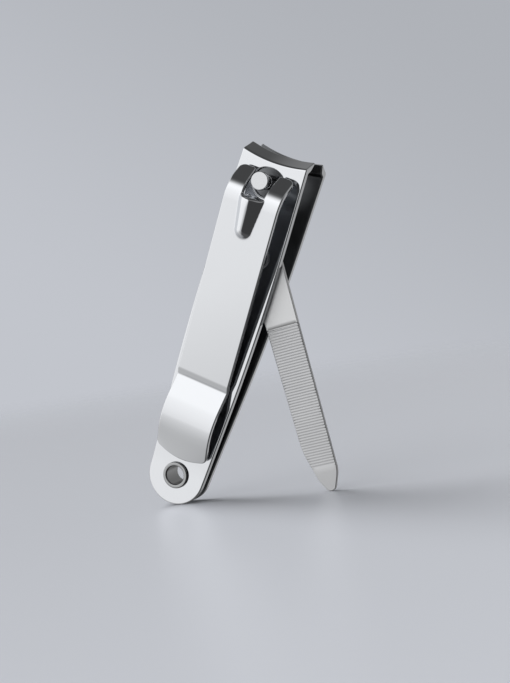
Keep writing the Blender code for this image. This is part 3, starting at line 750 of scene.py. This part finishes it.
def chrome(name, colour, low_roughness, high_roughness, waviness):
    """Polished plating: faint haze in patches, and the slight waviness of stamped sheet."""
    material, tree, shader = shader_of(name)
    shader.inputs["Base Color"].default_value = (*colour, 1)
    shader.inputs["Metallic"].default_value = 1.0
    haze = noise(tree, scale=260, detail=4)
    roughness = ranged(tree, haze, low_roughness, high_roughness, start=0.35, end=0.75)
    tree.links.new(roughness, shader.inputs["Roughness"])
    wave = noise(tree, scale=90, detail=1)
    bump(tree, shader, wave, waviness)
    return material


def satin_steel(name, dark, light):
    """Ground steel of the file, uneven between two greys, with a fine grain."""
    material, tree, shader = shader_of(name)
    shader.inputs["Metallic"].default_value = 1.0
    grain = noise(tree, scale=3000, detail=3)
    patches = noise(tree, scale=150, detail=3)
    ramp = tree.nodes.new("ShaderNodeValToRGB")
    ramp.color_ramp.elements[0].color = (*dark, 1)
    ramp.color_ramp.elements[1].color = (*light, 1)
    tree.links.new(patches, ramp.inputs["Fac"])
    tree.links.new(ramp.outputs["Color"], shader.inputs["Base Color"])
    tree.links.new(ranged(tree, patches, low=0.34, high=0.46), shader.inputs["Roughness"])
    bump(tree, shader, grain, distance=0.00002, strength=0.5)
    return material


# ---------------------------------------------------------------- studio

def direction_mask(tree, direction, middle, inner, outer):
    """1 within an angle of a middle direction, 0 beyond another, and smooth between them."""
    dot = tree.nodes.new("ShaderNodeVectorMath")
    dot.operation = "DOT_PRODUCT"
    dot.inputs[1].default_value = Vector(middle).normalized()
    tree.links.new(direction, dot.inputs[0])
    mask = tree.nodes.new("ShaderNodeMapRange")
    mask.interpolation_type = "SMOOTHSTEP"
    mask.inputs["From Min"].default_value = math.cos(math.radians(outer))
    mask.inputs["From Max"].default_value = math.cos(math.radians(inner))
    tree.links.new(dot.outputs["Value"], mask.inputs["Value"])
    return mask.outputs["Result"]


def by_elevation(tree, height, levels):
    """Brightness that follows the height of a direction, through levels of (degrees, brightness)."""
    spread = ranged(tree, height, low=0.0, high=1.0, start=-1.0, end=1.0)
    ramp = tree.nodes.new("ShaderNodeValToRGB")
    stops = ramp.color_ramp.elements
    while len(stops) < len(levels):
        stops.new(0.5)
    for stop, (degrees, brightness) in zip(stops, levels):
        stop.position = (1 + math.sin(math.radians(degrees))) / 2
        stop.color = (brightness, brightness, brightness, 1)
    tree.links.new(spread, ramp.inputs["Fac"])
    return ramp.outputs["Color"]


def mixed(tree, factor, low, high):
    """Mix of two colours; each is a socket or a plain colour."""
    mix = tree.nodes.new("ShaderNodeMix")
    mix.data_type = "RGBA"
    tree.links.new(factor, mix.inputs["Factor"])
    for name, colour in (("A", low), ("B", high)):
        socket = next(item for item in mix.inputs if item.name == name and item.type == "RGBA")
        if isinstance(colour, bpy.types.NodeSocket):
            tree.links.new(colour, socket)
        else:
            socket.default_value = (*colour, 1)
    return next(item for item in mix.outputs if item.type == "RGBA")


def studio_world():
    """Soft studio all round, by direction: what the chrome mirrors, and a pale backdrop with painted shade
    that darkens it towards the upper right.
    """
    world = bpy.data.worlds.new("studio")
    bpy.context.scene.world = world
    world.use_nodes = True
    tree = world.node_tree
    tree.nodes.clear()
    coordinates = tree.nodes.new("ShaderNodeTexCoord")
    direction = coordinates.outputs["Generated"]
    axes = tree.nodes.new("ShaderNodeSeparateXYZ")
    tree.links.new(direction, axes.inputs["Vector"])
    room = by_elevation(tree, axes.outputs["Z"], ROOM_LEVELS)
    softbox = by_elevation(tree, axes.outputs["Z"], SOFTBOX_LEVELS)
    in_softbox = direction_mask(tree, direction, SOFTBOX_SIDE, SOFTBOX_INNER, SOFTBOX_OUTER)
    shade = mixed(tree, in_softbox, room, softbox)
    for middle, inner, outer, brightness in STUDIO_PATCHES:
        mask = direction_mask(tree, direction, middle, inner, outer)
        shade = mixed(tree, mask, shade, (brightness,) * 3)
    studio = tree.nodes.new("ShaderNodeBackground")
    tree.links.new(shade, studio.inputs["Color"])
    # Painted shade: the backdrop that the camera sees darkens towards the upper right.
    towards_painted_shade = direction_mask(tree, direction, BACKDROP_PAINTED_SHADE_SIDE,
                                  BACKDROP_PAINTED_SHADE_ANGLE, BACKDROP_PALE_ANGLE)
    backdrop = tree.nodes.new("ShaderNodeBackground")
    tree.links.new(mixed(tree, towards_painted_shade, linear(BACKDROP_COLOUR), linear(BACKDROP_PAINTED_SHADE_COLOUR)),
                   backdrop.inputs["Color"])
    seen = tree.nodes.new("ShaderNodeLightPath")
    pick = tree.nodes.new("ShaderNodeMixShader")
    output = tree.nodes.new("ShaderNodeOutputWorld")
    tree.links.new(seen.outputs["Is Camera Ray"], pick.inputs["Fac"])
    tree.links.new(studio.outputs["Background"], pick.inputs[1])
    tree.links.new(backdrop.outputs["Background"], pick.inputs[2])
    tree.links.new(pick.outputs["Shader"], output.inputs["Surface"])


def linear(display_colour):
    """Linear colour of an 8-bit display colour, by the sRGB curve."""
    return tuple(((channel / 255 + 0.055) / 1.055) ** 2.4 for channel in display_colour)


def studio_sun():
    """Wide soft light from the upper left, for the floor and the satin file only."""
    light = bpy.data.lights.new("studio_sun", "SUN")
    light.angle = math.radians(SUN_ANGLE)
    light.energy = SUN_STRENGTH
    sun = bpy.data.objects.new("studio_sun", light)
    sun.rotation_mode = "QUATERNION"
    sun.rotation_quaternion = Vector(SUN_DIRECTION).to_track_quat("Z", "Y")
    sun.visible_glossy = False
    bpy.context.collection.objects.link(sun)


def floor_disc():
    """Round floor mesh, whose rings are closest together under the clipper."""
    verts, faces = [(0, 0, 0)], []
    spokes = [2 * math.pi * i / FLOOR_SPOKES for i in range(FLOOR_SPOKES)]
    for ring in range(1, FLOOR_RINGS + 1):
        radius = FLOOR_REACH * (ring / FLOOR_RINGS) ** 2
        verts += [(radius * math.cos(angle), radius * math.sin(angle), 0) for angle in spokes]
    for i in range(FLOOR_SPOKES):
        j = (i + 1) % FLOOR_SPOKES
        faces.append((0, 1 + i, 1 + j))
        for ring in range(FLOOR_RINGS - 1):
            low, high = 1 + ring * FLOOR_SPOKES, 1 + (ring + 1) * FLOOR_SPOKES
            faces.append((low + i, high + i, high + j, low + j))
    mesh = bpy.data.meshes.new("studio_floor")
    mesh.from_pydata(verts, [], faces)
    return mesh


def floor_paper():
    """Pale matt paper that turns clear far from the clipper, so that the backdrop takes over."""
    material, tree, shader = shader_of("floor_paper")
    shader.inputs["Base Color"].default_value = (*FLOOR_TINT, 1)
    shader.inputs["Roughness"].default_value = FLOOR_ROUGHNESS
    shader.inputs["Specular IOR Level"].default_value = FLOOR_SPECULAR
    coordinates = tree.nodes.new("ShaderNodeTexCoord")
    distance = tree.nodes.new("ShaderNodeVectorMath")
    distance.operation = "LENGTH"
    tree.links.new(coordinates.outputs["Object"], distance.inputs[0])
    fade = tree.nodes.new("ShaderNodeMapRange")
    fade.interpolation_type = "SMOOTHSTEP"
    fade.inputs["From Min"].default_value = FLOOR_FADE_START
    fade.inputs["From Max"].default_value = FLOOR_FADE_END
    tree.links.new(distance.outputs["Value"], fade.inputs["Value"])
    clear = tree.nodes.new("ShaderNodeBsdfTransparent")
    mix = tree.nodes.new("ShaderNodeMixShader")
    tree.links.new(fade.outputs["Result"], mix.inputs["Fac"])
    tree.links.new(shader.outputs["BSDF"], mix.inputs[1])
    tree.links.new(clear.outputs["BSDF"], mix.inputs[2])
    tree.links.new(mix.outputs["Shader"], tree.nodes["Material Output"].inputs["Surface"])
    return material


def studio_floor():
    """Pale seamless floor that melts into the backdrop far from the clipper."""
    mesh = floor_disc()
    floor = bpy.data.objects.new("studio_floor", mesh)
    bpy.context.collection.objects.link(floor)
    floor.visible_glossy = False
    mesh.materials.append(floor_paper())


def studio_camera(eyelet):
    """Camera at the photograph's viewing angle: nearly level, a little from the right, and rolled."""
    azimuth, elevation, roll = (math.radians(a) for a in (CAMERA_AZIMUTH, CAMERA_ELEVATION, CAMERA_ROLL))
    back = Vector((math.sin(azimuth) * math.cos(elevation), -math.cos(azimuth) * math.cos(elevation),
                   math.sin(elevation)))
    level_right = Vector((math.cos(azimuth), math.sin(azimuth), 0))
    level_up = back.cross(level_right)
    right = level_right * math.cos(roll) + level_up * math.sin(roll)
    up = back.cross(right)
    aim = eyelet + Vector((CAMERA_AIM[0], -CAMERA_AIM[1], CAMERA_AIM[2])) * MM
    aim += (right * CAMERA_SHIFT_RIGHT + up * CAMERA_SHIFT_UP) * MM
    data = bpy.data.cameras.new("camera")
    data.lens = CAMERA_LENS
    data.clip_start, data.clip_end = 0.01, 20
    camera = bpy.data.objects.new("camera", data)
    bpy.context.collection.objects.link(camera)
    matrix = Matrix((right, up, back)).transposed().to_4x4()
    camera.matrix_world = Matrix.Translation(aim + back * CAMERA_DISTANCE * MM) @ matrix
    bpy.context.scene.camera = camera


JOINTS = {joint["name"]: joint for joint in frame["record"]["behaviour"]["joints"]}
CLIPPER = clipper_frame(JOINTS)
ARM_EXTENT = local_points(frame["nodes"]["upper_arm"], CLIPPER)[:, 2]
MM = (ARM_EXTENT.max() - ARM_EXTENT.min()) / ARM_LENGTH


# ---------------------------------------------------------------- putting it together

def make_arms(plating):
    """Upper and lower arm, with painted shade: darker on their inner faces, which face each other across the
    narrow gap.
    """
    # Painted shade between the arms, on their inner faces and on the seat ring.
    arm_painted_shade = chrome("arm_inside_painted_shade", *ARM_INSIDE_PAINTED_SHADE)
    eyelet_hole = (0, 0.0, EYELET_HOLE_RADIUS, SMALL_HOLE_EDGE)
    upper_pin_hole = (0, PIN_Z, UPPER_PIN_HOLE_RADIUS, PIN_HOLE_EDGE)
    lower_pin_hole = (0, PIN_Z, LOWER_PIN_HOLE_RADIUS, SMALL_HOLE_EDGE)
    upper_shape, upper_shaded = arm_shape(1, [eyelet_hole, upper_pin_hole])
    lower_shape, lower_shaded = with_seat(*arm_shape(-1, [eyelet_hole, lower_pin_hole]))
    upper = add_piece("polished_upper_arm", upper_shape, CLIPPER, plating, upper_shaded, arm_painted_shade)
    lower = add_piece("polished_lower_arm", lower_shape, CLIPPER, plating, lower_shaded, arm_painted_shade)
    return upper, lower


def make_lever(plating):
    """Lever, with painted shade: greyer on its inner face, which lies in shade over the upper arm."""
    # Painted shade under the lever, on its inner face.
    lever_painted_shade = chrome("lever_inside_painted_shade", *LEVER_INSIDE_PAINTED_SHADE)
    shape, inside = lever_shape()
    return add_piece("polished_lever", shape, CLIPPER, plating, inside, lever_painted_shade)


def make_eyelet():
    """Hollow rivet at the tail."""
    plating = chrome("eyelet_plating", *EYELET_PLATING)
    return add_piece("turned_eyelet", turned(EYELET_SECTION, True), CLIPPER, plating)


def make_pin():
    """Turned pin that the lever's fork holds."""
    plating = chrome("pin_plating", *PIN_PLATING)
    place = CLIPPER @ Matrix.Translation((0, 0, PIN_Z * MM))
    return add_piece("turned_pin", turned(PIN_SECTION, False), place, plating)


def pivot_frame():
    """Frame at the file's pivot, tilted as the upper arm's outer face is."""
    slope = math.atan((JAW_CORNER_DEPTH - TAIL_HALF_STACK) / (JAW_CORNER_Z - FLARE_Z))
    arm_tilt = CLIPPER.to_3x3().to_4x4() @ Matrix.Rotation(slope, 4, "X")
    return Matrix.Translation(Vector(JOINTS["file_swing"]["pos_m"])) @ arm_tilt


def make_file():
    """File swung out as a leg, darker where the teeth are cut."""
    steel = satin_steel("file_steel", *FILE_STEEL)
    cut_steel = satin_steel("cut_file_steel", *CUT_FILE_STEEL)
    out_turn = Matrix.Rotation(-math.radians(FILE_OUT_ANGLE), 4, "Y")
    shape, cut = file_shape()
    return add_piece("cut_nail_file", shape, pivot_frame() @ out_turn, steel, cut, cut_steel)


def make_rivet(plating):
    """Domed rivet that the file turns on."""
    place = pivot_frame() @ Matrix.Translation((0, -FILE_DROP * MM, 0))
    return add_piece("domed_rivet", turned(RIVET_SECTION, False), place, plating)


def build():
    """Makes every piece, hangs it on the body it rides on and hides the imported part it replaces; the table
    lists each piece's part, body and finish.
    """
    plating = chrome("chrome_plating", *CHROME_PLATING)
    upper, lower = make_arms(plating)
    lever = make_lever(plating)
    eyelet = make_eyelet()
    pin = make_pin()
    blade = make_file()
    rivet = make_rivet(plating)
    for piece, node, body, slot in (
        (upper, "upper_arm", "upper_jaw", "polished_chrome"),
        (lower, "lower_arm", "lower_jaw", "polished_chrome"),
        (eyelet, "tail_eyelet", "lower_jaw", "polished_chrome"),
        (lever, "lever", "thumb_lever", "polished_chrome"),
        (pin, "lever_pin", "pin", "pin_chrome"),
        (blade, "nail_file", "file", "satin_file_steel"),
        (rivet, "file_rivet", "upper_jaw", "polished_chrome"),
    ):
        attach(piece, body)
        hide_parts(node)


build()
studio_world()
studio_sun()
studio_floor()
studio_camera(CLIPPER.translation)
bpy.context.scene.view_settings.view_transform = "Standard"
